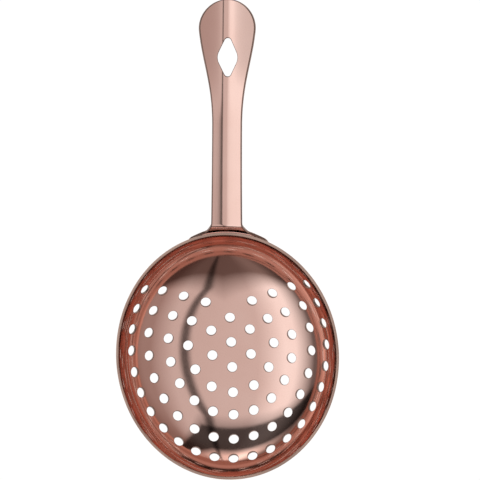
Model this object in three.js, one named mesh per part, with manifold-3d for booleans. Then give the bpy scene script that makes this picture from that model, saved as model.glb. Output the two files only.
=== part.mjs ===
// Julep strainer: an oval bowl pressed from perforated sheet, a pressed channel handle whose flared tab
// hugs the outside of the bowl under its rim, and the two spot welds between the tab and the bowl.
// Millimetres. +Z is up, the rim lies level and the handle runs along +Y.
// The origin is at the middle of the bounding box, level with the underside of the bowl.

import * as THREE from 'three';
import { mergeVertices } from 'three/addons/utils/BufferGeometryUtils.js';
import Module from 'manifold-3d';

const wasm = await Module();
wasm.setup();

// whole strainer
const TOTAL_LENGTH = 165;
const SHEET = 1.0;
const WELD_GAP = 0.35;

// bowl
const RIM_HALF_WIDTH = 38.3;
const RIM_HALF_LENGTH = 43.0;
const BOWL_DEPTH = 21.5;
const LENGTH_STRETCH = 1.02; // along its length the bowl is an ellipse this much longer than its rim
const FLOOR_RATIO = 0.98; // width to length of a level section at the bottom of the bowl
const RIM_RATIO = RIM_HALF_WIDTH / RIM_HALF_LENGTH;
const BOWL_TURN = THREE.MathUtils.degToRad(2.5); // the bowl is welded on slightly turned from the handle
const BOWL_SIDES = 52;
const BOWL_BANDS = 9;

// strainer holes: one in the middle of an oval pattern, a closed ring around it and rings open to the handle
const HOLE_RADIUS = 1.72;
const HOLE_SIDES = 12;
const PATTERN_SHIFT = 1.6; // pattern centre, towards the handle
const CLOSED_RING = { holes: 6, halfWidth: 7.8, halfLength: 8.8 };
const OPEN_RINGS = [
  { holes: 11, halfWidth: 15.0, halfLength: 17.5, span: 295 },
  { holes: 15, halfWidth: 21.7, halfLength: 25.0, span: 269 },
  { holes: 19, halfWidth: 28.4, halfLength: 32.9, span: 256 },
  { holes: 23, halfWidth: 33.9, halfLength: 38.9, span: 248 },
];

// handle blade
const BLADE_HALF_WIDTH = 4.9;
const TIP_RADIUS = 9.35;
const TIP_LAST_ANGLE = THREE.MathUtils.degToRad(85);
const FLANK_ANGLE = THREE.MathUtils.degToRad(6); // between the blade's axis and its flank at the round end
const TAPER_LENGTH = 42.3; // from the tip to the parallel part of the blade
const TROUGH_X = -0.6; // the trough pressed along the blade runs a little to the left of its middle
const TROUGH_AT_NECK = { slope: 0.325, crease: 0.9 }; // slope of its flanks and half width of its round bottom
const TROUGH_AT_EYE = { slope: 0.54, crease: 2.0 };
const BLADE_FALL = THREE.MathUtils.degToRad(5.5);
const BLADE_ARCH = 1.0;

// hanging hole: an eye with small round ends and larger round sides
const EYE_FROM_TIP = 19.5;
const EYE_END_RADIUS = 1.1;
const EYE_END_OFFSET = 5.4;
const EYE_SIDE_RADIUS = 4.5;
const EYE_SIDE_OFFSET = 1.25;

// neck and tab, heights from the rim plane
const BEND_Y = RIM_HALF_LENGTH + 2.25;
const BEND_Z = 2.05;
const BEND_LEG = 1.2;
const NECK_FOOT_Y = RIM_HALF_LENGTH + 0.15;
const NECK_FOOT_Z = -0.65;
const TAB_HALF_WIDTH = 13.7;
const TAB_CORNER = 3.7;
const TAB_MIDDLE_Z = -5.3;
const TAB_HALF_HEIGHT = 3.2;

// spot welds
const WELD_RADIUS = 2.2;
const WELD_X = 6.5;
const WELD_Z = -5.2;
const WELD_DOME = 0.15;

// rim plane and bowl centre in the part's frame
const RIM_Z = BOWL_DEPTH;
const BOWL_Y = RIM_HALF_LENGTH - TOTAL_LENGTH / 2;
const TIP_Y = TOTAL_LENGTH - RIM_HALF_LENGTH; // from the bowl centre

// The bowl's outside is an ellipse of this height and half length spun about Z, centred above the rim plane,
// and then narrowed in X, more and more from the floor up to the rim.
const OUTER_HEIGHT = BOWL_DEPTH / (1 - Math.sqrt(1 - 1 / LENGTH_STRETCH ** 2));
const OUTER_LENGTH = RIM_HALF_LENGTH * LENGTH_STRETCH;
const CENTRE_Z = OUTER_HEIGHT - BOWL_DEPTH;

function solidOf(geometry) {
  const bare = new THREE.BufferGeometry();
  bare.setAttribute('position', geometry.getAttribute('position').clone());
  if (geometry.index) bare.setIndex(geometry.index.clone());
  const merged = mergeVertices(bare, 1e-5);
  const triVerts = [];
  const index = merged.index.array;
  for (let i = 0; i < index.length; i += 3) {
    const [a, b, c] = [index[i], index[i + 1], index[i + 2]];
    if (a !== b && b !== c && c !== a) triVerts.push(a, b, c);
  }
  return new wasm.Manifold(new wasm.Mesh({
    numProp: 3,
    vertProperties: new Float32Array(merged.getAttribute('position').array),
    triVerts: new Uint32Array(triVerts),
  }));
}

function meshOf(solid, name, material) {
  const data = solid.getMesh();
  const geometry = new THREE.BufferGeometry();
  geometry.setAttribute('position', new THREE.BufferAttribute(new Float32Array(data.vertProperties), 3));
  geometry.setIndex(new THREE.BufferAttribute(new Uint32Array(data.triVerts), 1));
  geometry.translate(0, BOWL_Y, RIM_Z);
  geometry.computeVertexNormals();
  const mesh = new THREE.Mesh(geometry, material);
  mesh.name = name;
  return mesh;
}

// Width to length of the bowl's level section at a height from the rim plane.
function levelRatio(z) {
  return RIM_RATIO + ((RIM_RATIO - FLOOR_RATIO) * z) / BOWL_DEPTH;
}

// Solid filling of the bowl, inset from its outside, from its bottom up to the height top.
function bowlFilling(inset, top) {
  const length = OUTER_LENGTH - inset;
  const height = OUTER_HEIGHT - inset;
  const lastAngle = Math.acos((CENTRE_Z - top) / height);
  const profile = [];
  for (let i = 0; i <= BOWL_BANDS; i += 1) {
    const angle = (lastAngle * i) / BOWL_BANDS;
    profile.push(new THREE.Vector2(length * Math.sin(angle), CENTRE_Z - height * Math.cos(angle)));
  }
  profile.push(new THREE.Vector2(0, top));
  const geometry = new THREE.LatheGeometry(profile, BOWL_SIDES);
  geometry.rotateX(Math.PI / 2);
  const position = geometry.getAttribute('position');
  for (let i = 0; i < position.count; i += 1) {
    position.setX(i, position.getX(i) * levelRatio(position.getZ(i)));
  }
  geometry.rotateZ(BOWL_TURN);
  return solidOf(geometry);
}

// Point half way through the bowl's sheet and its normal, for a plan position measured in the bowl's own axes.
function middleOfSheet(x, y) {
  const length = OUTER_LENGTH - SHEET / 2;
  const height = OUTER_HEIGHT - SHEET / 2;
  let z = -BOWL_DEPTH / 2;
  for (let i = 0; i < 30; i += 1) {
    z = CENTRE_Z - height * Math.sqrt(1 - (x / (length * levelRatio(z))) ** 2 - (y / length) ** 2);
  }
  const ratio = levelRatio(z);
  const ratioSlope = (RIM_RATIO - FLOOR_RATIO) / BOWL_DEPTH;
  const normal = new THREE.Vector3(
    x / ratio ** 2,
    y,
    (-(x ** 2) * ratioSlope) / ratio ** 3 - (length / height) ** 2 * (CENTRE_Z - z),
  ).normalize();
  return { point: new THREE.Vector3(x, y, z), normal };
}

// Solid of one hole of a ring, square to the sheet, at an angle in degrees from the bowl's +X.
function strainerHole(ring, degrees) {
  const angle = THREE.MathUtils.degToRad(degrees);
  const { point, normal } = middleOfSheet(
    ring.halfWidth * Math.cos(angle),
    PATTERN_SHIFT + ring.halfLength * Math.sin(angle),
  );
  const geometry = new THREE.CylinderGeometry(HOLE_RADIUS, HOLE_RADIUS, 5 * SHEET, HOLE_SIDES);
  geometry.applyQuaternion(new THREE.Quaternion().setFromUnitVectors(new THREE.Vector3(0, 1, 0), normal));
  geometry.translate(point.x, point.y, point.z);
  geometry.rotateZ(BOWL_TURN);
  return solidOf(geometry);
}

function bowlSolid() {
  const holes = [strainerHole({ halfWidth: 0, halfLength: 0 }, 0)];
  for (let i = 0; i < CLOSED_RING.holes; i += 1) {
    holes.push(strainerHole(CLOSED_RING, 90 + (360 * i) / CLOSED_RING.holes));
  }
  for (const ring of OPEN_RINGS) {
    for (let i = 0; i < ring.holes; i += 1) {
      holes.push(strainerHole(ring, 270 - ring.span / 2 + (ring.span * i) / (ring.holes - 1)));
    }
  }
  const shell = bowlFilling(0, 0).subtract(bowlFilling(SHEET, 3 * SHEET));
  return shell.subtract(wasm.Manifold.union(holes));
}

// Y of the bowl's outside wall, moved out by a clearance, at one X and height under the rim plane.
function wallY(x, z, clearance) {
  const level = Math.sqrt(1 - ((CENTRE_Z - z) / OUTER_HEIGHT) ** 2);
  const width = OUTER_LENGTH * level * levelRatio(z) + clearance;
  const length = OUTER_LENGTH * level + clearance;
  const cosine = Math.cos(BOWL_TURN);
  const sine = Math.sin(BOWL_TURN);
  const a = (sine / width) ** 2 + (cosine / length) ** 2;
  const b = 2 * x * sine * cosine * (1 / width ** 2 - 1 / length ** 2);
  const c = x ** 2 * ((cosine / width) ** 2 + (sine / length) ** 2) - 1;
  return (-b + Math.sqrt(b ** 2 - 4 * a * c)) / (2 * a);
}

// Stations along the handle from the bottom of the tab to the tip: half width, Y and Z of the middle of the
// sheet's upper face, all from the bowl centre and the rim plane.
function handleStations() {
  const stations = [];
  for (let degrees = -90; degrees <= 50; degrees += 17.5) {
    const angle = THREE.MathUtils.degToRad(degrees);
    const z = TAB_MIDDLE_Z + TAB_HALF_HEIGHT * Math.sin(angle);
    const halfWidth = TAB_HALF_WIDTH - TAB_CORNER * (1 - Math.cos(angle));
    stations.push({ halfWidth, y: wallY(0, z, WELD_GAP * 1.15), z });
  }

  const neckFoot = new THREE.Vector2(NECK_FOOT_Y, NECK_FOOT_Z);
  const bendCorner = new THREE.Vector2(BEND_Y, BEND_Z);
  const neckDirection = bendCorner.clone().sub(neckFoot).normalize();
  const bladeDirection = new THREE.Vector2(Math.cos(BLADE_FALL), -Math.sin(BLADE_FALL));
  const bend = new THREE.QuadraticBezierCurve(
    bendCorner.clone().addScaledVector(neckDirection, -BEND_LEG),
    bendCorner,
    bendCorner.clone().addScaledVector(bladeDirection, BEND_LEG),
  );
  const neckMiddle = neckFoot.clone().lerp(bend.v0, 0.5);
  stations.push({ halfWidth: 9.6, y: wallY(0, -1.8, WELD_GAP * 1.15), z: -1.8 });
  stations.push({ halfWidth: 7.6, y: neckFoot.x, z: neckFoot.y });
  stations.push({ halfWidth: 6.5, y: neckMiddle.x, z: neckMiddle.y });
  const neckWidths = [5.85, 5.6, 5.4, 5.25, 5.15, 5.1];
  neckWidths.forEach((halfWidth, i) => {
    const point = bend.getPoint(i / (neckWidths.length - 1));
    stations.push({ halfWidth, y: point.x, z: point.y });
  });

  const bladeStart = bend.v2;
  const flankX = TIP_RADIUS * Math.cos(FLANK_ANGLE);
  const flankY = TIP_Y - TIP_RADIUS * (1 + Math.sin(FLANK_ANGLE));
  const taper = new THREE.CubicBezierCurve(
    new THREE.Vector2(TIP_Y - TAPER_LENGTH, BLADE_HALF_WIDTH),
    new THREE.Vector2(TIP_Y - TAPER_LENGTH + 14.3, BLADE_HALF_WIDTH),
    new THREE.Vector2(flankY - 10.5, flankX - 10.5 * Math.tan(FLANK_ANGLE)),
    new THREE.Vector2(flankY, flankX),
  );
  const bladeLength = TIP_Y - bladeStart.x;
  const bladePoint = (halfWidth, y) => {
    const along = (y - bladeStart.x) / bladeLength;
    const fall = (y - bladeStart.x) * Math.tan(BLADE_FALL);
    return { halfWidth, y, z: bladeStart.y - fall + 4 * BLADE_ARCH * along * (1 - along) };
  };
  const parallelLength = TIP_Y - TAPER_LENGTH - bladeStart.x;
  for (let i = 1; i < 8; i += 1) {
    const along = i / 8;
    const narrowing = (neckWidths.at(-1) - BLADE_HALF_WIDTH) * (1 - along) ** 2;
    stations.push(bladePoint(BLADE_HALF_WIDTH + narrowing, bladeStart.x + parallelLength * along));
  }
  for (let i = 0; i <= 10; i += 1) {
    const point = taper.getPoint(i / 10);
    stations.push(bladePoint(point.y, point.x));
  }
  const tipSteps = 9;
  for (let i = 1; i <= tipSteps; i += 1) {
    const angle = -FLANK_ANGLE + ((FLANK_ANGLE + TIP_LAST_ANGLE) * i) / tipSteps;
    stations.push(bladePoint(TIP_RADIUS * Math.cos(angle), TIP_Y - TIP_RADIUS * (1 - Math.sin(angle))));
  }
  return stations;
}

// Point of the sheet's upper face: a trough along the blade that flattens over the neck onto the bowl wall.
function upperFacePoint(station, across) {
  const x = across * station.halfWidth;
  const onBlade = THREE.MathUtils.smoothstep(station.y, NECK_FOOT_Y, BEND_Y);
  const towardsEye = THREE.MathUtils.smoothstep(station.y, TIP_Y - TAPER_LENGTH, TIP_Y - EYE_FROM_TIP);
  const slope = THREE.MathUtils.lerp(TROUGH_AT_NECK.slope, TROUGH_AT_EYE.slope, towardsEye);
  const crease = THREE.MathUtils.lerp(TROUGH_AT_NECK.crease, TROUGH_AT_EYE.crease, towardsEye);
  const trough = slope * (Math.hypot(x - TROUGH_X, crease) - crease);
  const levelZ = Math.min(station.z, -0.2);
  const clearance = WELD_GAP * 1.15;
  const wallDrop = wallY(0, levelZ, clearance) - wallY(x, levelZ, clearance);
  return new THREE.Vector3(x, station.y - (1 - onBlade) * wallDrop, station.z + onBlade * trough);
}

// Solid that pierces the hanging hole.
function eyeSolid() {
  const between = Math.hypot(EYE_SIDE_OFFSET, EYE_END_OFFSET);
  const lean = Math.atan2(EYE_END_OFFSET, EYE_SIDE_OFFSET)
    - Math.acos((EYE_SIDE_RADIUS - EYE_END_RADIUS) / between);
  const eye = new THREE.Shape();
  eye.absarc(EYE_SIDE_OFFSET, 0, EYE_SIDE_RADIUS, Math.PI - lean, Math.PI + lean, false);
  eye.absarc(0, -EYE_END_OFFSET, EYE_END_RADIUS, lean - Math.PI, -lean, false);
  eye.absarc(-EYE_SIDE_OFFSET, 0, EYE_SIDE_RADIUS, -lean, lean, false);
  eye.absarc(0, EYE_END_OFFSET, EYE_END_RADIUS, lean, Math.PI - lean, false);
  const geometry = new THREE.ExtrudeGeometry(eye, { depth: 20, bevelEnabled: false, curveSegments: 5 });
  geometry.translate(0, TIP_Y - EYE_FROM_TIP, -5);
  return solidOf(geometry);
}

// Frame on the outside of the bowl wall at a spot weld.
function weldFrame(x) {
  const y = wallY(x, WELD_Z, 0);
  const step = 0.01;
  const alongX = new THREE.Vector3(2 * step, wallY(x + step, WELD_Z, 0) - wallY(x - step, WELD_Z, 0), 0);
  const alongZ = new THREE.Vector3(0, wallY(x, WELD_Z + step, 0) - wallY(x, WELD_Z - step, 0), 2 * step);
  const normal = alongZ.cross(alongX).normalize();
  return { point: new THREE.Vector3(x, y, WELD_Z), normal };
}

function placedOnWall(geometry, frame, outwards) {
  geometry.applyQuaternion(new THREE.Quaternion().setFromUnitVectors(new THREE.Vector3(0, 1, 0), frame.normal));
  const middle = frame.point.clone().addScaledVector(frame.normal, outwards);
  geometry.translate(middle.x, middle.y, middle.z);
  return solidOf(geometry);
}

function handleSolid() {
  const stations = handleStations();
  const columns = 12;
  const rows = stations.length - 1;
  const upper = stations.map((station) => {
    const points = [];
    for (let i = 0; i <= columns; i += 1) points.push(upperFacePoint(station, (2 * i) / columns - 1));
    return points;
  });
  const geometry = new THREE.BoxGeometry(columns, rows, 1, columns, rows, 1);
  const position = geometry.getAttribute('position');
  for (let i = 0; i < position.count; i += 1) {
    const column = Math.round(position.getX(i) + columns / 2);
    const row = Math.round(position.getY(i) + rows / 2);
    const left = upper[row][Math.max(column - 1, 0)];
    const right = upper[row][Math.min(column + 1, columns)];
    const before = upper[Math.max(row - 1, 0)][column];
    const after = upper[Math.min(row + 1, rows)][column];
    const normal = right.clone().sub(left).cross(after.clone().sub(before)).normalize();
    const depth = position.getZ(i) > 0 ? 0 : SHEET;
    const point = upper[row][column].clone().addScaledVector(normal, -depth);
    position.setXYZ(i, point.x, point.y, point.z);
  }
  const weldHoles = [-WELD_X, WELD_X].map((x) => placedOnWall(
    new THREE.CylinderGeometry(WELD_RADIUS + 0.3, WELD_RADIUS + 0.3, 4, 20),
    weldFrame(x),
    1,
  ));
  return solidOf(geometry).subtract(wasm.Manifold.union([eyeSolid(), ...weldHoles]));
}

// Nugget of a spot weld: a shallow button that fills its hole in the tab, slightly domed outwards.
function weldSolid(x) {
  const halfSheet = SHEET / 2;
  const profile = [
    new THREE.Vector2(0, -halfSheet),
    new THREE.Vector2(WELD_RADIUS, -halfSheet),
    new THREE.Vector2(WELD_RADIUS, halfSheet - 0.1),
    new THREE.Vector2(WELD_RADIUS * 0.7, halfSheet + WELD_DOME * 0.6),
    new THREE.Vector2(0, halfSheet + WELD_DOME),
  ];
  return placedOnWall(new THREE.LatheGeometry(profile, 20), weldFrame(x), WELD_GAP + halfSheet);
}

const copper = new THREE.MeshStandardMaterial({ color: 0xb9694f, roughness: 0.12, metalness: 1.0 });
copper.name = 'copper';
const weldMetal = new THREE.MeshStandardMaterial({ color: 0x9c5d47, roughness: 0.4, metalness: 0.9 });
weldMetal.name = 'weld_metal';

const strainer = new THREE.Group();
strainer.name = 'julep_strainer';
strainer.add(meshOf(bowlSolid(), 'bowl', copper));
strainer.add(meshOf(handleSolid(), 'handle', copper));
strainer.add(meshOf(weldSolid(-WELD_X), 'weld_spot_left', weldMetal));
strainer.add(meshOf(weldSolid(WELD_X), 'weld_spot_right', weldMetal));

export default strainer;
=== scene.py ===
import math

import bpy
import bmesh
import numpy as np
from mathutils import Matrix, Vector
from mathutils.geometry import delaunay_2d_cdt


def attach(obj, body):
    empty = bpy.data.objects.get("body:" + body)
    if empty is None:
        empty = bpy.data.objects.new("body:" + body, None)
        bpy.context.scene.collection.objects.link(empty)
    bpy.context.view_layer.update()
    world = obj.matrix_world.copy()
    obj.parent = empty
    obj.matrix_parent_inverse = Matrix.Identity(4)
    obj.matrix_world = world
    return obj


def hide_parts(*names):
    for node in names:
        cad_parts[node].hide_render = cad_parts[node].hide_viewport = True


# Looks of the julep strainer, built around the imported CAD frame.
# The shape functions work in millimetres, from the bowl's centre and the rim plane, as the CAD does.

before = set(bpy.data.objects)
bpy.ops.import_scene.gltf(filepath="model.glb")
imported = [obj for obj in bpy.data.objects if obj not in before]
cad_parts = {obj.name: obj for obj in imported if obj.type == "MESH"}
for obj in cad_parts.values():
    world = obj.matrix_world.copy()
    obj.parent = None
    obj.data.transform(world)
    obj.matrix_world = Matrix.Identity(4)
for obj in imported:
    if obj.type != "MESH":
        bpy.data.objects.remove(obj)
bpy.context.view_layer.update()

MM = 0.001
SHEET = 1.0

# bowl
TOTAL_LENGTH = 165.0
RIM_HALF_WIDTH = 38.3
RIM_HALF_LENGTH = 43.0
BOWL_DEPTH = 21.5
LENGTH_STRETCH = 1.02
FLOOR_RATIO = 0.98
RIM_RATIO = RIM_HALF_WIDTH / RIM_HALF_LENGTH
RATIO_SLOPE = (RIM_RATIO - FLOOR_RATIO) / BOWL_DEPTH
BOWL_TURN = math.radians(2.5)
OUTER_LENGTH = RIM_HALF_LENGTH * LENGTH_STRETCH
OUTER_HEIGHT = BOWL_DEPTH / (1 - math.sqrt(1 - 1 / LENGTH_STRETCH**2))
CENTRE_Z = OUTER_HEIGHT - BOWL_DEPTH
SKIN = 0.06  # the fine outside stays this far inside the faceted one
OUTER = (OUTER_LENGTH - SKIN, OUTER_HEIGHT - SKIN)  # half length and height of a face of the sheet
MIDDLE = (OUTER_LENGTH - SHEET / 2, OUTER_HEIGHT - SHEET / 2)
INNER = (OUTER_LENGTH - SHEET, OUTER_HEIGHT - SHEET)
BOWL_Y = RIM_HALF_LENGTH - TOTAL_LENGTH / 2
BOWL_GRID = 0.033  # radians between points of the bowl's surface
RIM_STEPS = 300
RIM_FILLET = 0.22

# strainer holes
HOLE_RADIUS = 1.72
HOLE_STEPS = 30
HOLE_FILLET = 0.14
PATTERN_SHIFT = 1.6
CLOSED_RING = (6, 7.8, 8.8)
OPEN_RINGS = ((11, 15.0, 17.5, 295), (15, 21.7, 25.0, 269), (19, 28.4, 32.9, 256), (23, 33.9, 38.9, 248))

# handle
BLADE_HALF_WIDTH = 4.9
TIP_RADIUS = 9.35
TIP_LAST_ANGLE = math.radians(85)
TIP_Y = TOTAL_LENGTH - RIM_HALF_LENGTH
FLANK_ANGLE = math.radians(6)
TAPER_LENGTH = 42.3
TAPER_PULL = (14.3, 10.5)  # lengths of the taper curve's handles, at the blade and at the teardrop end
TROUGH_X = -0.6
TROUGH_SLOPE = (0.325, 0.54)  # at the neck and at the eye
TROUGH_CREASE = (0.9, 2.0)
BLADE_FALL = math.radians(5.5)
BLADE_ARCH = 1.0
EYE_FROM_TIP = 19.5
EYE_END = (1.1, 5.4)
EYE_SIDE = (4.5, 1.25)
BEND_Y = RIM_HALF_LENGTH + 2.25
BEND_Z = 2.05
BEND_LEG = 1.2
NECK_FOOT = (RIM_HALF_LENGTH + 0.15, -0.65)
NECK_FOOT_WIDTH = 7.6
NECK_MIDDLE_WIDTH = 6.5
NECK_WIDTHS = (5.85, 5.6, 5.4, 5.25, 5.15, 5.1)  # round the bend
SHOULDER_WIDTH = 9.6
SHOULDER_Z = -1.8
TAB_HALF_WIDTH = 13.7
TAB_CORNER = 3.7
TAB_MIDDLE_Z = -5.3
TAB_HALF_HEIGHT = 3.2
WELD_GAP = 0.35
TAB_GAP = WELD_GAP * 1.15  # the same gap measured level, since the wall leans
HANDLE_GRID = 0.5
HANDLE_FILLET = 0.28
WELD_X = 6.5
WELD_Z = -5.2
WELD_STEPS = 48
WELD_PROFILE = (  # radius, and height over the tab, from the middle of the button round to its hidden foot
    (0.0, 0.10), (0.5, 0.095), (1.0, 0.07), (1.4, 0.03), (1.65, 0.0), (1.85, 0.02), (2.0, 0.07),
    (2.12, 0.08), (2.2, 0.03), (2.2, -0.4), (0.0, -0.4),
)


def smoothstep(value, low, high):
    t = np.clip((value - low) / (high - low), 0, 1)
    return t * t * (3 - 2 * t)


def unit(vectors):
    return vectors / np.linalg.norm(vectors, axis=-1, keepdims=True)


def bezier(points, count):
    """Points of a Bezier curve of any degree."""
    points = np.array(points, float)
    degree = len(points) - 1
    t = np.linspace(0, 1, count)[:, None]
    return sum(math.comb(degree, i) * t**i * (1 - t) ** (degree - i) * points[i] for i in range(degree + 1))


def placed(points):
    """From millimetres at the bowl's centre to metres in the frame."""
    return (np.asarray(points) + [0, BOWL_Y, BOWL_DEPTH]) * MM


# ---------------------------------------------------------------- sheet metal

def hex_points(low, high, step):
    """Rows of points a step apart, every other row shifted by half a step."""
    rows = []
    y = low[1]
    odd = False
    while y < high[1]:
        x = np.arange(low[0] + (step / 2 if odd else 0), high[0], step)
        rows.append(np.stack([x, np.full_like(x, y)], 1))
        y += step * math.sqrt(3) / 2
        odd = not odd
    return np.concatenate(rows)


def inside_polygon(points, polygon):
    inside = np.zeros(len(points), bool)
    for a, b in zip(polygon, np.roll(polygon, -1, 0)):
        crosses = (a[1] > points[:, 1]) != (b[1] > points[:, 1])
        if crosses.any():
            at = a[0] + (points[:, 1] - a[1]) * (b[0] - a[0]) / (b[1] - a[1] if b[1] != a[1] else 1)
            inside ^= crosses & (points[:, 0] < at)
    return inside


def distance_to_polygon(points, polygon):
    best = np.full(len(points), np.inf)
    for a, b in zip(polygon, np.roll(polygon, -1, 0)):
        along = np.clip(((points - a) @ (b - a)) / max((b - a) @ (b - a), 1e-12), 0, 1)
        best = np.minimum(best, np.linalg.norm(points - a - along[:, None] * (b - a), axis=1))
    return best


def triangulated(outer, holes, step, margin):
    """Points and triangles of a plane region, the outer loop first and then each hole's loop."""
    low, high = outer.min(0), outer.max(0)
    fill = hex_points(low, high, step)
    fill = fill[inside_polygon(fill, outer)]
    fill = fill[distance_to_polygon(fill, outer) > margin]
    for hole in holes:
        centre = hole.mean(0)
        reach = np.linalg.norm(hole - centre, axis=1).max() + 2 * margin
        near = np.linalg.norm(fill - centre, axis=1) < reach
        keep = np.ones(len(fill), bool)
        some = fill[near]
        keep[near] = ~inside_polygon(some, hole) & (distance_to_polygon(some, hole) > margin)
        fill = fill[keep]
    loops = [outer, *holes]
    points = np.concatenate([*loops, fill])
    edges = []
    start = 0
    for loop in loops:
        edges += [(start + i, start + (i + 1) % len(loop)) for i in range(len(loop))]
        start += len(loop)
    result = delaunay_2d_cdt([Vector(p) for p in points], edges, [], 0, 1e-9)
    if len(result[0]) != len(points):
        raise RuntimeError("the loops of a sheet cross")
    triangles = np.array([list(face) for face in result[2]])
    middles = points[triangles].mean(1)
    keep = inside_polygon(middles, outer)
    for hole in holes:
        keep &= ~inside_polygon(middles, hole)
    return points, triangles[keep], [len(loop) for loop in loops]


def outwards(points, normals):
    """For a closed loop on a surface, the unit vectors along the surface away from the material.
    The outer loop runs anticlockwise seen from the normals' side, and holes run clockwise."""
    along = np.roll(points, -1, 0) - np.roll(points, 1, 0)
    return unit(np.cross(along, normals))


def edge_rows(upper, upper_normal, lower, lower_normal, fillet):
    """Rows of points and normals round the cut edge of the sheet, from its upper to its lower face."""
    out = outwards(upper, upper_normal)
    rows = []
    for point, normal, angles in (
        (upper, upper_normal, (30, 60, 90)),
        (lower, lower_normal, (90, 60, 30)),
    ):
        for degrees in angles:
            angle = math.radians(degrees)
            rows.append((
                point + out * fillet * math.sin(angle) - normal * fillet * (1 - math.cos(angle)),
                normal * math.cos(angle) + out * math.sin(angle),
            ))
    return rows


def sheet_mesh(name, region, surface, backs, fillets, special=None):
    """A closed sheet: the upper face over a plane region, the lower face behind it, and rounded cut edges.
    Its four materials are for the upper face, the outer edge, the lower face and the walls of the holes."""
    points2, triangles, loop_sizes = region
    upper, upper_normal = surface(points2)
    lower, lower_normal = backs(upper, upper_normal)
    count = len(upper)
    vertices = [upper, lower]
    normals = [upper_normal, lower_normal]
    faces = [tuple(t) for t in triangles]
    faces += [tuple(int(i) + count for i in t[::-1]) for t in triangles]
    materials = [0] * len(triangles) + [2] * len(triangles)
    total = 2 * count
    start = 0
    for index, size in enumerate(loop_sizes):
        loop = np.arange(start, start + size)
        start += size
        if special and index == 0:
            rows = special(points2[loop])
        else:
            rows = edge_rows(upper[loop], upper_normal[loop], lower[loop], lower_normal[loop], fillets[index])
        previous = loop
        for row_points, row_normals in rows:
            vertices.append(row_points)
            normals.append(row_normals)
            current = np.arange(total, total + size)
            total += size
            faces += ring_faces(previous, current)
            previous = current
        faces += ring_faces(previous, loop + count)
        materials += [3 if index else 1] * (size * (len(rows) + 1))
    sheet = linked_mesh(name, np.concatenate(vertices), faces, materials)
    sheet.data.normals_split_custom_set_from_vertices(unit(np.concatenate(normals)).tolist())
    sheet.data.update()
    return sheet


def ring_faces(a, b):
    size = len(a)
    return [(int(a[i]), int(b[i]), int(b[(i + 1) % size]), int(a[(i + 1) % size])) for i in range(size)]


def linked_mesh(name, vertices, faces, materials):
    """A smooth closed mesh in the scene, its faces turned outwards."""
    mesh = bpy.data.meshes.new(name)
    mesh.from_pydata(placed(vertices).tolist(), [], [tuple(int(i) for i in f) for f in faces])
    mesh.polygons.foreach_set("material_index", materials)
    mesh.polygons.foreach_set("use_smooth", [True] * len(mesh.polygons))
    mesh.update()
    bm = bmesh.new()
    bm.from_mesh(mesh)
    bmesh.ops.recalc_face_normals(bm, faces=bm.faces)
    bm.to_mesh(mesh)
    bm.free()
    obj = bpy.data.objects.new(name, mesh)
    bpy.context.scene.collection.objects.link(obj)
    return obj


# ---------------------------------------------------------------- bowl

def turned(points, angle=BOWL_TURN):
    """Points turned about the vertical, by the bowl's own turn unless told otherwise."""
    c, s = math.cos(angle), math.sin(angle)
    x, y, z = points[..., 0], points[..., 1], points[..., 2]
    return np.stack([x * c - y * s, x * s + y * c, z], -1)


def unturned(points):
    return turned(points, -BOWL_TURN)


def sphere_point(q):
    """Point on the lower unit sphere for a plane point whose distance from the middle is the polar angle."""
    angle = np.linalg.norm(q, axis=-1)
    scale = np.where(angle > 1e-9, np.sin(angle) / np.maximum(angle, 1e-9), 1.0)
    return np.concatenate([q * scale[..., None], -np.cos(angle)[..., None]], -1)


def plane_point(sphere):
    """The plane point that sphere_point turns into a point of the sphere."""
    angle = np.arccos(np.clip(-sphere[..., 2], -1, 1))
    flat = np.linalg.norm(sphere[..., :2], axis=-1)
    return sphere[..., :2] * (angle / np.maximum(flat, 1e-9))[..., None]


def level_ratio(z):
    """Width to length of the bowl's level section at a height."""
    return RIM_RATIO + RATIO_SLOPE * z


def face_point(sphere, face):
    """Point of a face of the bowl for a point of the unit sphere."""
    length, height = face
    z = CENTRE_Z + height * sphere[..., 2]
    return np.stack([length * sphere[..., 0] * level_ratio(z), length * sphere[..., 1], z], -1)


def face_sphere(points, face):
    length, height = face
    x, y, z = points[..., 0], points[..., 1], points[..., 2]
    return np.stack([x / (length * level_ratio(z)), y / length, (z - CENTRE_Z) / height], -1)


def face_gradient(points, face):
    length, height = face
    x, y, z = points[..., 0], points[..., 1], points[..., 2]
    ratio = level_ratio(z)
    fall = -(x**2) * RATIO_SLOPE / ratio**3 - (length / height) ** 2 * (CENTRE_Z - z)
    return 2 * np.stack([x / ratio**2, y, fall], -1)


def face_hit(start, direction, face):
    """Where lines that start near a face of the bowl cross it."""
    length = face[0]
    points = np.array(start, float)
    for _ in range(12):
        level = length**2 * ((face_sphere(points, face) ** 2).sum(-1) - 1)
        speed = (face_gradient(points, face) * direction).sum(-1)
        points = points - direction * (level / speed)[..., None]
    return points


def bowl_inside(q):
    local = face_point(sphere_point(q), INNER)
    return turned(local), turned(-unit(face_gradient(local, INNER)))


def bowl_outside(points, normals):
    """The outside of the bowl straight behind points of its inside."""
    direction = -unturned(normals)
    local = face_hit(unturned(points) + direction * SHEET, direction, OUTER)
    return turned(local), turned(unit(face_gradient(local, OUTER)))


def level_ring(face, z, across):
    """Ring of a face of the bowl at one height, with its outward normals, for unit plan vectors."""
    down = (CENTRE_Z - z) / face[1]
    sphere = np.concatenate([across * math.sqrt(1 - down**2), np.full((len(across), 1), -down)], 1)
    local = face_point(sphere, face)
    return turned(local), turned(unit(face_gradient(local, face)))


def rim_angle():
    """Polar angle on the inside where the rim's rounded corner starts."""
    return math.acos((CENTRE_Z + RIM_FILLET) / INNER[1])


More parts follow.
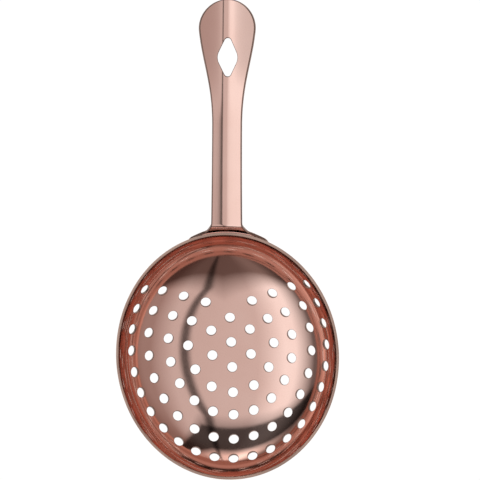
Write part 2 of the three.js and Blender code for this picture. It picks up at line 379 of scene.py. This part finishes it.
def rim_rows(loop2):
    """The ground rim: rounded inner corner, flat face, rounded outer corner, and the top of the outside."""
    across = unit(loop2)
    start, start_normal = level_ring(INNER, -RIM_FILLET, across)
    inner_corner, _ = level_ring(INNER, 0, across)
    outer_corner, _ = level_ring(OUTER, 0, across)
    end, end_normal = level_ring(OUTER, -RIM_FILLET, across)
    step = unit(outer_corner - inner_corner) * RIM_FILLET
    up = np.array([0, 0, 1.0])
    rows = []
    for t in (0.25, 0.5, 0.75, 1.0):
        point = (1 - t) ** 2 * start + 2 * t * (1 - t) * inner_corner + t**2 * (inner_corner + step)
        rows.append((point, unit(-start_normal * (1 - t) + up * t)))
    for t in (0.0, 0.25, 0.5, 0.75, 1.0):
        point = (1 - t) ** 2 * (outer_corner - step) + 2 * t * (1 - t) * outer_corner + t**2 * end
        rows.append((point, unit(up * (1 - t) + end_normal * t)))
    rows.append(level_ring(OUTER, -RIM_FILLET - 0.2, across))
    return rows


def hole_loop(x, y):
    """Clockwise plane loop, seen from inside the bowl, of a round hole square to the sheet."""
    centre = np.array([x, y, -BOWL_DEPTH / 2])
    for _ in range(30):
        reach = (x / (MIDDLE[0] * level_ratio(centre[2]))) ** 2 + (y / MIDDLE[0]) ** 2
        centre[2] = CENTRE_Z - MIDDLE[1] * math.sqrt(1 - reach)
    normal = unit(face_gradient(centre, MIDDLE))
    side = unit(np.cross(normal, [0.0, 1.0, 0.3]))
    other = np.cross(normal, side)
    turn = np.linspace(0, 2 * math.pi, HOLE_STEPS, endpoint=False)[:, None]
    ring = centre + (HOLE_RADIUS + HOLE_FILLET) * (np.cos(turn) * side + np.sin(turn) * other)
    loop = plane_point(face_sphere(face_hit(ring, normal, INNER), INNER))
    area = (loop[:, 0] * np.roll(loop[:, 1], -1) - loop[:, 1] * np.roll(loop[:, 0], -1)).sum()
    return loop[::-1] if area > 0 else loop


def hole_centres():
    centres = [(0.0, PATTERN_SHIFT)]
    count, half_width, half_length = CLOSED_RING
    rings = [(half_width, half_length, 90 + 360 * i / count) for i in range(count)]
    for count, half_width, half_length, span in OPEN_RINGS:
        rings += [(half_width, half_length, 270 - span / 2 + span * i / (count - 1)) for i in range(count)]
    for half_width, half_length, degrees in rings:
        angle = math.radians(degrees)
        centres.append((half_width * math.cos(angle), PATTERN_SHIFT + half_length * math.sin(angle)))
    return centres


def make_bowl():
    turn = np.linspace(0, 2 * math.pi, RIM_STEPS, endpoint=False)
    outer = rim_angle() * np.stack([np.cos(turn), np.sin(turn)], 1)
    holes = [hole_loop(x, y) for x, y in hole_centres()]
    region = triangulated(outer, holes, BOWL_GRID, BOWL_GRID * 0.45)
    fillets = [0] + [HOLE_FILLET] * len(holes)
    return sheet_mesh("strainer_bowl", region, bowl_inside, bowl_outside, fillets, rim_rows)


# ---------------------------------------------------------------- handle

def wall_y(x, z, clearance):
    """Y of the bowl's outside wall, moved out by a clearance."""
    level = np.sqrt(1 - ((CENTRE_Z - z) / OUTER_HEIGHT) ** 2)
    width = OUTER_LENGTH * level * level_ratio(z) + clearance
    length = OUTER_LENGTH * level + clearance
    c, s = math.cos(BOWL_TURN), math.sin(BOWL_TURN)
    qa = (s / width) ** 2 + (c / length) ** 2
    qb = 2 * x * s * c * (1 / width**2 - 1 / length**2)
    qc = x**2 * ((c / width) ** 2 + (s / length) ** 2) - 1
    return (-qb + np.sqrt(qb**2 - 4 * qa * qc)) / (2 * qa)


def catmull(points, steps):
    """Smooth curve through all but the first and last of a few points."""
    points = np.array(points, float)
    found = []
    for a, b, c, d in zip(points, points[1:], points[2:], points[3:]):
        for t in np.linspace(0, 1, steps, endpoint=False):
            square = (2 * a - 5 * b + 4 * c - d) * t**2
            cube = (3 * b - a - 3 * c + d) * t**3
            found.append(0.5 * (2 * b + (c - a) * t + square + cube))
    return found


def handle_path():
    """Half width, Y and Z of the middle of the sheet's upper face, from the bottom of the tab to the tip."""
    tab = []
    for degrees in np.linspace(-90, 50, 41):
        angle = math.radians(degrees)
        z = TAB_MIDDLE_Z + TAB_HALF_HEIGHT * math.sin(angle)
        half_width = TAB_HALF_WIDTH - TAB_CORNER * (1 - math.cos(angle))
        tab.append((half_width, float(wall_y(0, z, TAB_GAP)), z))
    foot = np.array(NECK_FOOT)
    corner = np.array([BEND_Y, BEND_Z])
    neck = unit(corner - foot)
    blade = np.array([math.cos(BLADE_FALL), -math.sin(BLADE_FALL)])
    turn = bezier([corner - neck * BEND_LEG, corner, corner + blade * BEND_LEG], 26)
    widths = np.interp(np.linspace(0, 5, 26), range(6), NECK_WIDTHS)
    bend = [(w, y, z) for w, (y, z) in zip(widths, turn)]
    middle = (foot + turn[0]) / 2
    shoulder = (SHOULDER_WIDTH, float(wall_y(0, SHOULDER_Z, TAB_GAP)), SHOULDER_Z)
    neck_points = [(NECK_FOOT_WIDTH, *foot), (NECK_MIDDLE_WIDTH, *middle)]
    joined = catmull([tab[-4], tab[-1], shoulder, *neck_points, bend[0], bend[5]], 10)
    path = tab[:-1] + [tuple(p) for p in joined] + bend
    y0, z0 = turn[-1]
    flank_x = TIP_RADIUS * math.cos(FLANK_ANGLE)
    flank_y = TIP_Y - TIP_RADIUS * (1 + math.sin(FLANK_ANGLE))
    parallel = TIP_Y - TAPER_LENGTH - y0
    outline = []
    for along in np.linspace(0, 1, 40)[1:-1]:
        narrowing = (NECK_WIDTHS[-1] - BLADE_HALF_WIDTH) * (1 - along) ** 2
        outline.append((y0 + parallel * along, BLADE_HALF_WIDTH + narrowing))
    taper = bezier([
        (TIP_Y - TAPER_LENGTH, BLADE_HALF_WIDTH),
        (TIP_Y - TAPER_LENGTH + TAPER_PULL[0], BLADE_HALF_WIDTH),
        (flank_y - TAPER_PULL[1], flank_x - TAPER_PULL[1] * math.tan(FLANK_ANGLE)),
        (flank_y, flank_x),
    ], 60)
    outline += [tuple(p) for p in taper]
    for angle in np.linspace(-FLANK_ANGLE, TIP_LAST_ANGLE, 50)[1:]:
        outline.append((TIP_Y - TIP_RADIUS * (1 - math.sin(angle)), TIP_RADIUS * math.cos(angle)))
    for y, half_width in outline:
        along = (y - y0) / (TIP_Y - y0)
        z = z0 - (y - y0) * math.tan(BLADE_FALL) + 4 * BLADE_ARCH * along * (1 - along)
        path.append((half_width, y, z))
    return np.array(path)


PATH = handle_path()
PATH_S = np.concatenate([[0], np.cumsum(np.linalg.norm(np.diff(PATH[:, 1:], axis=0), axis=1))])


def handle_point(x, s):
    """Point of the handle's upper face, x across it and s along its middle from the bottom of the tab."""
    y = np.interp(s, PATH_S, PATH[:, 1])
    z = np.interp(s, PATH_S, PATH[:, 2])
    on_blade = smoothstep(y, NECK_FOOT[0], BEND_Y)
    to_eye = smoothstep(y, TIP_Y - TAPER_LENGTH, TIP_Y - EYE_FROM_TIP)
    slope = TROUGH_SLOPE[0] + (TROUGH_SLOPE[1] - TROUGH_SLOPE[0]) * to_eye
    crease = TROUGH_CREASE[0] + (TROUGH_CREASE[1] - TROUGH_CREASE[0]) * to_eye
    trough = slope * (np.hypot(x - TROUGH_X, crease) - crease)
    level = np.minimum(z, -0.2)
    drop = wall_y(0, level, TAB_GAP) - wall_y(x, level, TAB_GAP)
    return np.stack([x, y - (1 - on_blade) * drop, z + on_blade * trough], -1)


def handle_top(points2):
    """Upper face of the handle's sheet and its normals, taken from near neighbours on each side."""
    x, s = points2[:, 0], points2[:, 1]
    nudge = 0.1
    across = handle_point(x + nudge, s) - handle_point(x - nudge, s)
    low = np.maximum(s - nudge, 0)
    high = np.minimum(s + nudge, PATH_S[-1])
    along = handle_point(x, high) - handle_point(x, low)
    return handle_point(x, s), unit(np.cross(across, along))


def handle_back(points, normals):
    return points - normals * SHEET, -normals


def resampled(loop, step):
    closed = np.concatenate([loop, loop[:1]])
    lengths = np.concatenate([[0], np.cumsum(np.linalg.norm(np.diff(closed, axis=0), axis=1))])
    at = np.linspace(0, lengths[-1], max(int(lengths[-1] / step), 8), endpoint=False)
    return np.stack([np.interp(at, lengths, closed[:, i]) for i in range(2)], 1)


def inset(loop, distance):
    """An anticlockwise plane loop moved inwards."""
    along = unit(np.roll(loop, -1, 0) - np.roll(loop, 1, 0))
    return loop + distance * np.stack([-along[:, 1], along[:, 0]], 1)


def eye_loop():
    between = math.hypot(EYE_SIDE[1], EYE_END[1])
    lean = math.atan2(EYE_END[1], EYE_SIDE[1]) - math.acos((EYE_SIDE[0] - EYE_END[0]) / between)
    arcs = (
        (EYE_SIDE[1], 0, EYE_SIDE[0], math.pi - lean, math.pi + lean),
        (0, -EYE_END[1], EYE_END[0], lean - math.pi, -lean),
        (-EYE_SIDE[1], 0, EYE_SIDE[0], -lean, lean),
        (0, EYE_END[1], EYE_END[0], lean, math.pi - lean),
    )
    points = []
    for x, y, radius, first, last in arcs:
        for angle in np.linspace(first, last, 16):
            points.append((x + radius * math.cos(angle), y + radius * math.sin(angle)))
    middle = np.interp(TIP_Y - EYE_FROM_TIP, PATH[:, 1][-180:], PATH_S[-180:])
    return np.array(points) + [0, middle]


def make_handle():
    right = np.stack([PATH[:, 0], PATH_S], 1)
    left = right[::-1] * [-1, 1]
    bottom = np.stack([np.linspace(-PATH[0, 0], PATH[0, 0], 30)[1:-1], np.zeros(28)], 1)
    outline = resampled(np.concatenate([right, left, bottom]), 0.55)
    eye = resampled(eye_loop(), 0.4)
    outer = inset(outline, HANDLE_FILLET)
    hole = inset(eye, -HANDLE_FILLET)[::-1]
    region = triangulated(outer, [hole], HANDLE_GRID, HANDLE_GRID * 0.45)
    return sheet_mesh("strainer_handle", region, handle_top, handle_back, [HANDLE_FILLET] * 2)


def make_weld(name, x):
    """A spot weld on the outside of the tab: a shallow pressed ring round a low button."""
    y = float(wall_y(x, WELD_Z, 0))
    step = 0.01
    along_x = np.array([2 * step, float(wall_y(x + step, WELD_Z, 0) - wall_y(x - step, WELD_Z, 0)), 0])
    along_z = np.array([0, float(wall_y(x, WELD_Z + step, 0) - wall_y(x, WELD_Z - step, 0)), 2 * step])
    normal = unit(np.cross(along_z, along_x))
    side = unit(along_x)
    up = np.cross(normal, side)
    base = WELD_GAP + SHEET
    vertices = []
    faces = []
    turn = np.linspace(0, 2 * math.pi, WELD_STEPS, endpoint=False)[:, None]
    for radius, height in WELD_PROFILE:
        if radius == 0:
            vertices.append([[x, y, WELD_Z] + normal * (base + height)])
            continue
        ring = np.array([x, y, WELD_Z]) + radius * (np.cos(turn) * side + np.sin(turn) * up)
        vertices.append(ring + normal * (base + height))
    starts = np.concatenate([[0], np.cumsum([len(v) for v in vertices])])
    for i in range(len(WELD_PROFILE) - 1):
        a, b = vertices[i], vertices[i + 1]
        for j in range(WELD_STEPS):
            k = (j + 1) % WELD_STEPS
            if len(a) == 1:
                faces.append((starts[i], starts[i + 1] + j, starts[i + 1] + k))
            elif len(b) == 1:
                faces.append((starts[i] + j, starts[i + 1], starts[i] + k))
            else:
                faces.append((starts[i] + j, starts[i + 1] + j, starts[i + 1] + k, starts[i] + k))
    return linked_mesh(name, np.concatenate(vertices), faces, [0] * len(faces))


# ---------------------------------------------------------------- materials

CLOUD_SCALE = 60.0
RELIEF_DEPTH = 0.00002
WALL_SHADE_FROM = 9.5  # height over the underside where painted shade starts to darken the bowl's wall
WALL_SHADE_TO = 13.0


def ramp_node(nodes, stops):
    node = nodes.new("ShaderNodeValToRGB")
    elements = node.color_ramp.elements
    while len(elements) < len(stops):
        elements.new(0.5)
    for element, (position, colour) in zip(elements, stops):
        element.position = position
        element.color = (*colour, 1.0)
    return node


def copper_material(name, tones, roughness, stretch, bump, wall=None):
    """Polished copper plate: slow changes of tone and gloss, fine polishing lines and a soft surface wave.
    Given a wall tone, it deepens to that tone up the wall of a bowl, as painted shade standing in for the
    darker look that light reflected to and fro gives the wall."""
    material = bpy.data.materials.new(name)
    material.use_nodes = True
    nodes = material.node_tree.nodes
    links = material.node_tree.links
    shader = nodes["Principled BSDF"]
    shader.inputs["Metallic"].default_value = 1.0
    where = nodes.new("ShaderNodeTexCoord")

    cloud = nodes.new("ShaderNodeTexNoise")
    cloud.inputs["Scale"].default_value = CLOUD_SCALE
    cloud.inputs["Detail"].default_value = 5.0
    links.new(where.outputs["Object"], cloud.inputs["Vector"])
    tone = ramp_node(nodes, ((0.35, tones[0]), (0.5, tones[1]), (0.65, tones[2])))
    links.new(cloud.outputs["Fac"], tone.inputs["Fac"])
    links.new(tone.outputs["Color"], shader.inputs["Base Color"])
    # painted shade: up the bowl's wall the colour is multiplied darker, in place of the wall's repeated
    # reflections
    if wall:
        height = nodes.new("ShaderNodeSeparateXYZ")
        links.new(where.outputs["Object"], height.inputs["Vector"])
        wall_shade_mask = nodes.new("ShaderNodeMapRange")
        wall_shade_mask.interpolation_type = "SMOOTHSTEP"
        wall_shade_mask.inputs["From Min"].default_value = WALL_SHADE_FROM * MM
        wall_shade_mask.inputs["From Max"].default_value = WALL_SHADE_TO * MM
        links.new(height.outputs["Z"], wall_shade_mask.inputs["Value"])
        painted_wall_shade = nodes.new("ShaderNodeMix")
        painted_wall_shade.data_type = "RGBA"
        painted_wall_shade.blend_type = "MULTIPLY"
        links.new(wall_shade_mask.outputs["Result"], painted_wall_shade.inputs["Factor"])
        links.new(tone.outputs["Color"], painted_wall_shade.inputs["A"])
        painted_wall_shade.inputs["B"].default_value = (*wall, 1.0)
        links.new(painted_wall_shade.outputs["Result"], shader.inputs["Base Color"])

    mapping = nodes.new("ShaderNodeMapping")
    mapping.inputs["Scale"].default_value = stretch
    links.new(where.outputs["Object"], mapping.inputs["Vector"])
    lines = nodes.new("ShaderNodeTexNoise")
    lines.inputs["Scale"].default_value = 1.0
    lines.inputs["Detail"].default_value = 6.0
    lines.inputs["Roughness"].default_value = 0.7
    links.new(mapping.outputs["Vector"], lines.inputs["Vector"])
    gloss = nodes.new("ShaderNodeMapRange")
    gloss.inputs["From Min"].default_value = 0.3
    gloss.inputs["From Max"].default_value = 0.75
    gloss.inputs["To Min"].default_value = roughness[0]
    gloss.inputs["To Max"].default_value = roughness[1]
    links.new(lines.outputs["Fac"], gloss.inputs["Value"])
    links.new(gloss.outputs["Result"], shader.inputs["Roughness"])

    relief = nodes.new("ShaderNodeBump")
    relief.inputs["Strength"].default_value = bump
    relief.inputs["Distance"].default_value = RELIEF_DEPTH
    links.new(lines.outputs["Fac"], relief.inputs["Height"])
    links.new(relief.outputs["Normal"], shader.inputs["Normal"])
    return material


# ---------------------------------------------------------------- build

copper_tones = ((0.93, 0.59, 0.505), (0.95, 0.61, 0.525), (0.965, 0.63, 0.545))
# darker copper tones: on the rim they are a painted reflection of the dark area overhead, and the welds use
# them too
rim_shade_and_weld_tones = ((0.50, 0.33, 0.27), (0.58, 0.39, 0.32), (0.66, 0.45, 0.37))
# painted shade: near-black copper for the cut edges and hole walls, standing in for the dark outlines that
# reflections give them
cut_edge_shade_tones = ((0.19, 0.12, 0.10), (0.24, 0.155, 0.125), (0.30, 0.19, 0.155))
# the inside's wall tone is painted shade that darkens the wall of the bowl
inside_copper = copper_material(
    "inside_copper", copper_tones, (0.05, 0.11), (700, 700, 700), 0.15, wall=(0.71, 0.61, 0.57))
outside_copper = copper_material("outside_copper", copper_tones, (0.05, 0.11), (700, 700, 700), 0.15)
handle_copper = copper_material("handle_copper", copper_tones, (0.05, 0.12), (3000, 120, 3000), 0.15)
# painted reflection: the flat rim gets a darker colour for the dark it mirrors from overhead
rim_painted_shade_copper = copper_material("rim_painted_shade_copper", rim_shade_and_weld_tones, (0.2, 0.36), (900, 900, 2600), 0.5)
# painted shade on the cut edges and the walls of the holes
cut_edge_painted_shade = copper_material("cut_edge_painted_shade", cut_edge_shade_tones, (0.25, 0.4), (900, 900, 2600), 0.5)
weld_copper = copper_material("weld_copper", rim_shade_and_weld_tones, (0.16, 0.32), (1800, 1800, 1800), 0.5)

bowl = make_bowl()
# the rim material carries painted reflection and the hole-wall material carries painted shade
for material in (inside_copper, rim_painted_shade_copper, outside_copper, cut_edge_painted_shade):
    bowl.data.materials.append(material)
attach(bowl, "root")
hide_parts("bowl")

handle = make_handle()
# the handle's cut edge and eye wall carry painted shade
for material in (handle_copper, cut_edge_painted_shade, handle_copper, cut_edge_painted_shade):
    handle.data.materials.append(material)
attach(handle, "root")
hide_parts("handle")

for side, x in (("left", -WELD_X), ("right", WELD_X)):
    weld = make_weld(f"spot_weld_{side}", x)
    weld.data.materials.append(weld_copper)
    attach(weld, "root")
    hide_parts(f"weld_spot_{side}")


# ---------------------------------------------------------------- studio

# the edges of each panel: angle in degrees from straight up, brightness, and how much bluer than red
PANELS = (
    (-75, 0.15, -0.1), (-50, 1.0, 0.1), (-40, 1.0, 0.1), (-20, 0.65, 0.0), (35, 0.6, 0.0), (60, 0.35, -0.2),
)
SEAM = ((20, 1.0, 0.0), (24, 0.2, 0.0), (27, 0.2, 0.0), (31, 1.0, 0.0))
HANDLE_END = ((32, 1.0, 0.0), (41, 0.6, 0.0), (44, 0.1, 0.0), (66, 0.1, 0.0), (76, 2.0, 0.0))
BOWL_END = ((-58, 0.2, -0.3), (-36, 1.0, 0.0))
SEAM_MIDDLE = 0.2
SEAM_CURVE = 0.3
SEAM_CURVE_LIMIT = 0.8
PANEL_CORNER = 0.4
PANEL_SLANT = 1.5
END_SLANT = 0.8
FLOOR_RADIUS = 4.0
FLOOR_Z = -0.0002
FLOOR_SCATTER = 0.12
FLOOR_GLOW = 0.96

# camera, in metres and degrees
LEAN_RIGHT = 3.8
LEAN_HANDLE = 8.2
CAMERA_DISTANCE = 1.3
FRAME_WIDTH = 0.1641
CENTRE_RIGHT = 0.00435
CENTRE_UP = 0.0399
SENSOR_WIDTH = 36


def make_floor():
    """A pale lit table under the strainer. It scatters little light, so polished metal doesn't mirror it
    brighter than white."""
    bpy.ops.mesh.primitive_circle_add(
        vertices=96, radius=FLOOR_RADIUS, fill_type="NGON", location=(0, 0, FLOOR_Z))
    floor = bpy.context.object
    floor.name = "studio_floor"
    material = bpy.data.materials.new("floor_white")
    material.use_nodes = True
    shader = material.node_tree.nodes["Principled BSDF"]
    shader.inputs["Base Color"].default_value = (FLOOR_SCATTER, FLOOR_SCATTER, FLOOR_SCATTER, 1)
    shader.inputs["Roughness"].default_value = 0.9
    shader.inputs["Emission Color"].default_value = (1, 1, 1, 1)
    shader.inputs["Emission Strength"].default_value = FLOOR_GLOW
    floor.data.materials.append(material)


def maths(nodes, links, operation, *values):
    """Output of a Math node whose inputs are numbers or other nodes' outputs."""
    node = nodes.new("ShaderNodeMath")
    node.operation = operation
    for socket, value in zip(node.inputs, values):
        if isinstance(value, (int, float)):
            socket.default_value = value
        else:
            links.new(value, socket)
    return node.outputs[0]


def sky_ramp(nodes, links, sideways, upwards, stops):
    """Brightness and warmth over the angle from straight up, towards one side of the strainer."""
    angle = maths(nodes, links, "ARCTAN2", sideways, upwards)
    position = maths(nodes, links, "MULTIPLY_ADD", angle, 1 / math.pi, 0.5)
    ramp = ramp_node(nodes, [
        (degrees / 180 + 0.5, (value, value * (1 + 0.8 * cool), value * (1 + cool)))
        for degrees, value, cool in stops
    ])
    links.new(position, ramp.inputs["Fac"])
    return ramp.outputs["Color"]


def make_sky():
    """A soft light tent: a main panel on the left, a dimmer one overhead and to the right with a curved seam
    in it, an open dark end past the handle with a bright line under it, and a dim end past the bowl."""
    world = bpy.data.worlds.new("studio")
    bpy.context.scene.world = world
    world.use_nodes = True
    nodes = world.node_tree.nodes
    links = world.node_tree.links
    background = nodes["Background"]
    where = nodes.new("ShaderNodeTexCoord")
    parts = nodes.new("ShaderNodeSeparateXYZ")
    links.new(where.outputs["Generated"], parts.inputs["Vector"])
    x, y, z = parts.outputs
    up = maths(nodes, links, "MAXIMUM", z, 0.001)

    # the seam curves towards the middle at both of its ends
    along = maths(nodes, links, "ADD", maths(nodes, links, "DIVIDE", y, up), SEAM_MIDDLE)
    curve = maths(nodes, links, "MINIMUM", maths(nodes, links, "MULTIPLY", along, along), SEAM_CURVE_LIMIT)
    seam = maths(nodes, links, "MULTIPLY_ADD", maths(nodes, links, "MULTIPLY", curve, up), SEAM_CURVE, x)

    # the right-hand panel hangs lower past the handle, and both panels hang lower at the sides past the bowl
    right = maths(nodes, links, "MAXIMUM", maths(nodes, links, "MULTIPLY_ADD", up, -PANEL_CORNER, x), 0.0)
    past_handle = maths(nodes, links, "MULTIPLY_ADD", right, -PANEL_SLANT, y)
    past_bowl = maths(nodes, links, "MULTIPLY_ADD", maths(nodes, links, "ABSOLUTE", x), END_SLANT, y)

    colour = sky_ramp(nodes, links, x, up, PANELS)
    for sideways, stops in ((seam, SEAM), (past_handle, HANDLE_END), (past_bowl, BOWL_END)):
        product = nodes.new("ShaderNodeVectorMath")
        product.operation = "MULTIPLY"
        links.new(colour, product.inputs[0])
        links.new(sky_ramp(nodes, links, sideways, up, stops), product.inputs[1])
        colour = product.outputs["Vector"]
    links.new(colour, background.inputs["Color"])
    background.inputs["Strength"].default_value = 1.0


make_floor()
make_sky()


def make_camera():
    """Nearly straight down, leaning a little to the right and to the handle's end."""
    lean = (math.tan(math.radians(LEAN_RIGHT)), math.tan(math.radians(LEAN_HANDLE)), 1)
    towards = Vector(lean).normalized()
    right = Vector((0, 1, 0)).cross(towards).normalized()
    up = towards.cross(right)
    rim_centre = Vector((0, BOWL_Y, BOWL_DEPTH)) * MM
    target = rim_centre + right * CENTRE_RIGHT + up * CENTRE_UP
    data = bpy.data.cameras.new("camera")
    data.lens = SENSOR_WIDTH * CAMERA_DISTANCE / FRAME_WIDTH
    data.sensor_width = SENSOR_WIDTH
    camera = bpy.data.objects.new("camera", data)
    bpy.context.scene.collection.objects.link(camera)
    turn = Matrix((right, up, towards)).transposed().to_4x4()
    camera.matrix_world = Matrix.Translation(target + towards * CAMERA_DISTANCE) @ turn
    bpy.context.scene.camera = camera


make_camera()
bpy.context.scene.view_settings.view_transform = "Standard"
